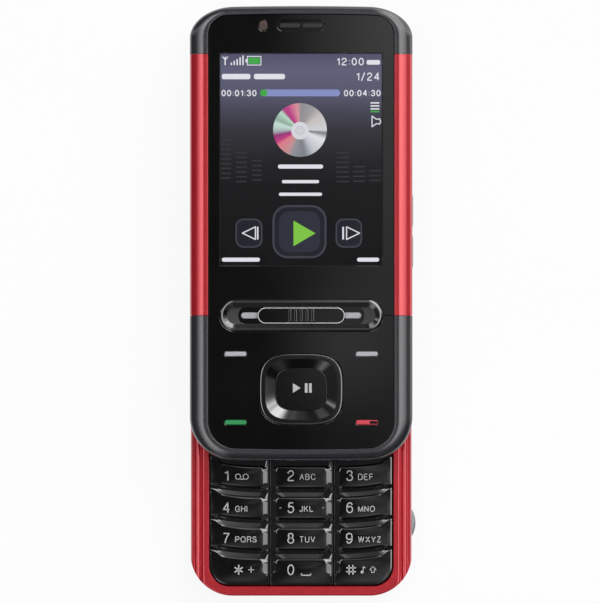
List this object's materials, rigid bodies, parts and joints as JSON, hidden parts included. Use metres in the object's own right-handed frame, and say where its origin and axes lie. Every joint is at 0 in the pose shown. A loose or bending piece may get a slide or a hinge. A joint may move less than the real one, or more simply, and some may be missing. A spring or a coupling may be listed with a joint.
{
  "type": "slider phone",
  "caption": "Slim slider phone standing open, with a display and music key on the upper half and a number keypad on the lower half.",
  "frame": {"origin": "middle of the keypad half's back face, on the surface that the phone lies on", "axes": "+X across the phone to its right side, +Y along it from the keypad end to the display end, +Z out of the display"},
  "size_m": [0.049, 0.1279, 0.0171],
  "materials": {
    "red_metal": "satin red with a metallic sheen",
    "charcoal": "fine-speckled dark grey",
    "back_black": "matte black",
    "gloss_black": "high gloss black",
    "key_black": "gloss black",
    "clear_pane": "clear, polished",
    "screen_glass": "lit display",
    "steel": "plain pressed steel",
    "inner_plastic": "matte moulded",
    "board_green": "satin lacquer",
    "rubber": "matte",
    "lit_white": "translucent white",
    "call_green": "translucent green",
    "end_red": "translucent red",
    "silver": "satin bright",
    "battery_grey": "plain can",
    "copper": "plain",
    "sensor_brown": "smoked"
  },
  "bodies": {
    "base": {"base_frame": "red_metal", "base_end_cap": "charcoal", "rear_shell": "back_black", "battery": "battery_grey", "housing_screw_left": "steel", "housing_screw_right": "steel", "main_board": "board_green", "shield_can": "steel", "keypad_mat": "rubber", "deck_plate": "inner_plastic", "slide_rail_plate": "steel", "assist_spring": "steel", "flex_cable": "copper", "camera_module": "inner_plastic", "camera_panel": "gloss_black", "loudspeaker": "inner_plastic", "vibration_motor": "silver", "connector_block": "inner_plastic", "usb_port": "silver", "antenna": "copper"},
    "slider": {"slider_top_cap": "charcoal", "slider_bottom_cap": "charcoal", "slider_rail_left": "red_metal", "slider_rail_right": "red_metal", "slider_frame": "inner_plastic", "slide_carrier": "steel", "upper_fascia": "gloss_black", "lower_fascia": "gloss_black", "display_lens": "clear_pane", "display_module": "screen_glass", "earpiece": "inner_plastic", "light_sensor": "sensor_brown", "music_key_bezel": "gloss_black", "music_key_light_guide": "lit_white", "slider_board": "board_green"},
    "battery_cover": {"battery_cover": "charcoal"},
    "vibration_weight": {"vibration_weight": "steel"},
    "volume_rocker": {"volume_rocker": "charcoal"},
    "camera_key": {"camera_key": "silver"},
    "port_door": {"port_door": "red_metal"},
    "key_1": {"key_1": "key_black"},
    "key_2": {"key_2": "key_black"},
    "key_3": {"key_3": "key_black"},
    "key_4": {"key_4": "key_black"},
    "key_5": {"key_5": "key_black"},
    "key_6": {"key_6": "key_black"},
    "key_7": {"key_7": "key_black"},
    "key_8": {"key_8": "key_black"},
    "key_9": {"key_9": "key_black"},
    "key_star": {"key_star": "key_black"},
    "key_0": {"key_0": "key_black"},
    "key_hash": {"key_hash": "key_black"},
    "left_soft_key": {"left_soft_key": "lit_white"},
    "right_soft_key": {"right_soft_key": "lit_white"},
    "call_key": {"call_key": "call_green"},
    "end_key": {"end_key": "end_red"},
    "music_slide_key": {"music_slide_key": "key_black"},
    "select_key": {"select_key": "key_black"},
    "navi_web": {"navi_web": "rubber"},
    "navi_ring": {"navi_ring": "key_black"}
  },
  "joints": [
    {"name": "slider_travel", "type": "slide", "parent": "base", "child": "slider", "axis": [0, 1, 0], "range_m": [-0.0295, 0], "deforming": ["flex_cable", "assist_spring"]},
    {"name": "battery_cover_slide", "type": "slide", "parent": "base", "child": "battery_cover", "axis": [0, -1, 0], "range_m": [0, 0.07]},
    {"name": "vibration_spin", "type": "hinge", "parent": "base", "child": "vibration_weight", "pos_m": [0.0186, -0.0392, 0.00368], "axis": [1, 0, 0], "continuous": true},
    {"name": "volume_rock", "type": "hinge", "parent": "base", "child": "volume_rocker", "pos_m": [0.0221, 0.0301, 0.0054], "axis": [0, 0, 1], "range_deg": [-2, 2], "stiffness_Nm_per_rad": 0.1},
    {"name": "camera_key_press", "type": "slide", "parent": "base", "child": "camera_key", "axis": [-1, 0, 0], "range_m": [0, 0.0004], "stiffness_N_per_m": 1000},
    {"name": "port_door_hinge", "type": "hinge", "parent": "base", "child": "port_door", "pos_m": [-0.0239, -0.0052, 0.0054], "axis": [0, 0, 1], "range_deg": [0, 100]},
    {"name": "key_1_press", "type": "slide", "parent": "base", "child": "key_1", "axis": [0, 0, -1], "range_m": [0, 0.0003], "stiffness_N_per_m": 1000},
    {"name": "key_2_press", "type": "slide", "parent": "base", "child": "key_2", "axis": [0, 0, -1], "range_m": [0, 0.0003], "stiffness_N_per_m": 1000},
    {"name": "key_3_press", "type": "slide", "parent": "base", "child": "key_3", "axis": [0, 0, -1], "range_m": [0, 0.0003], "stiffness_N_per_m": 1000},
    {"name": "key_4_press", "type": "slide", "parent": "base", "child": "key_4", "axis": [0, 0, -1], "range_m": [0, 0.0003], "stiffness_N_per_m": 1000},
    {"name": "key_5_press", "type": "slide", "parent": "base", "child": "key_5", "axis": [0, 0, -1], "range_m": [0, 0.0003], "stiffness_N_per_m": 1000},
    {"name": "key_6_press", "type": "slide", "parent": "base", "child": "key_6", "axis": [0, 0, -1], "range_m": [0, 0.0003], "stiffness_N_per_m": 1000},
    {"name": "key_7_press", "type": "slide", "parent": "base", "child": "key_7", "axis": [0, 0, -1], "range_m": [0, 0.0003], "stiffness_N_per_m": 1000},
    {"name": "key_8_press", "type": "slide", "parent": "base", "child": "key_8", "axis": [0, 0, -1], "range_m": [0, 0.0003], "stiffness_N_per_m": 1000},
    {"name": "key_9_press", "type": "slide", "parent": "base", "child": "key_9", "axis": [0, 0, -1], "range_m": [0, 0.0003], "stiffness_N_per_m": 1000},
    {"name": "key_star_press", "type": "slide", "parent": "base", "child": "key_star", "axis": [0, 0, -1], "range_m": [0, 0.0003], "stiffness_N_per_m": 1000},
    {"name": "key_0_press", "type": "slide", "parent": "base", "child": "key_0", "axis": [0, 0, -1], "range_m": [0, 0.0003], "stiffness_N_per_m": 1000},
    {"name": "key_hash_press", "type": "slide", "parent": "base", "child": "key_hash", "axis": [0, 0, -1], "range_m": [0, 0.0003], "stiffness_N_per_m": 1000},
    {"name": "left_soft_key_press", "type": "slide", "parent": "slider", "child": "left_soft_key", "axis": [0, 0, -1], "range_m": [0, 0.00025], "stiffness_N_per_m": 1000},
    {"name": "right_soft_key_press", "type": "slide", "parent": "slider", "child": "right_soft_key", "axis": [0, 0, -1], "range_m": [0, 0.00025], "stiffness_N_per_m": 1000},
    {"name": "call_key_press", "type": "slide", "parent": "slider", "child": "call_key", "axis": [0, 0, -1], "range_m": [0, 0.00025], "stiffness_N_per_m": 1000},
    {"name": "end_key_press", "type": "slide", "parent": "slider", "child": "end_key", "axis": [0, 0, -1], "range_m": [0, 0.00025], "stiffness_N_per_m": 1000},
    {"name": "music_key_slide", "type": "slide", "parent": "slider", "child": "music_slide_key", "axis": [1, 0, 0], "range_m": [-0.0025, 0.0025], "stiffness_N_per_m": 150},
    {"name": "select_key_press", "type": "slide", "parent": "slider", "child": "select_key", "axis": [0, 0, -1], "range_m": [0, 0.0003], "stiffness_N_per_m": 1000},
    {"name": "navi_rock_sideways", "type": "hinge", "parent": "slider", "child": "navi_web", "pos_m": [0, -0.0042, 0.0146], "axis": [0, 1, 0], "range_deg": [-2, 2], "stiffness_Nm_per_rad": 0.1},
    {"name": "navi_rock_lengthways", "type": "hinge", "parent": "navi_web", "child": "navi_ring", "pos_m": [0, -0.0042, 0.0146], "axis": [1, 0, 0], "range_deg": [-2, 2], "stiffness_Nm_per_rad": 0.1}
  ]
}
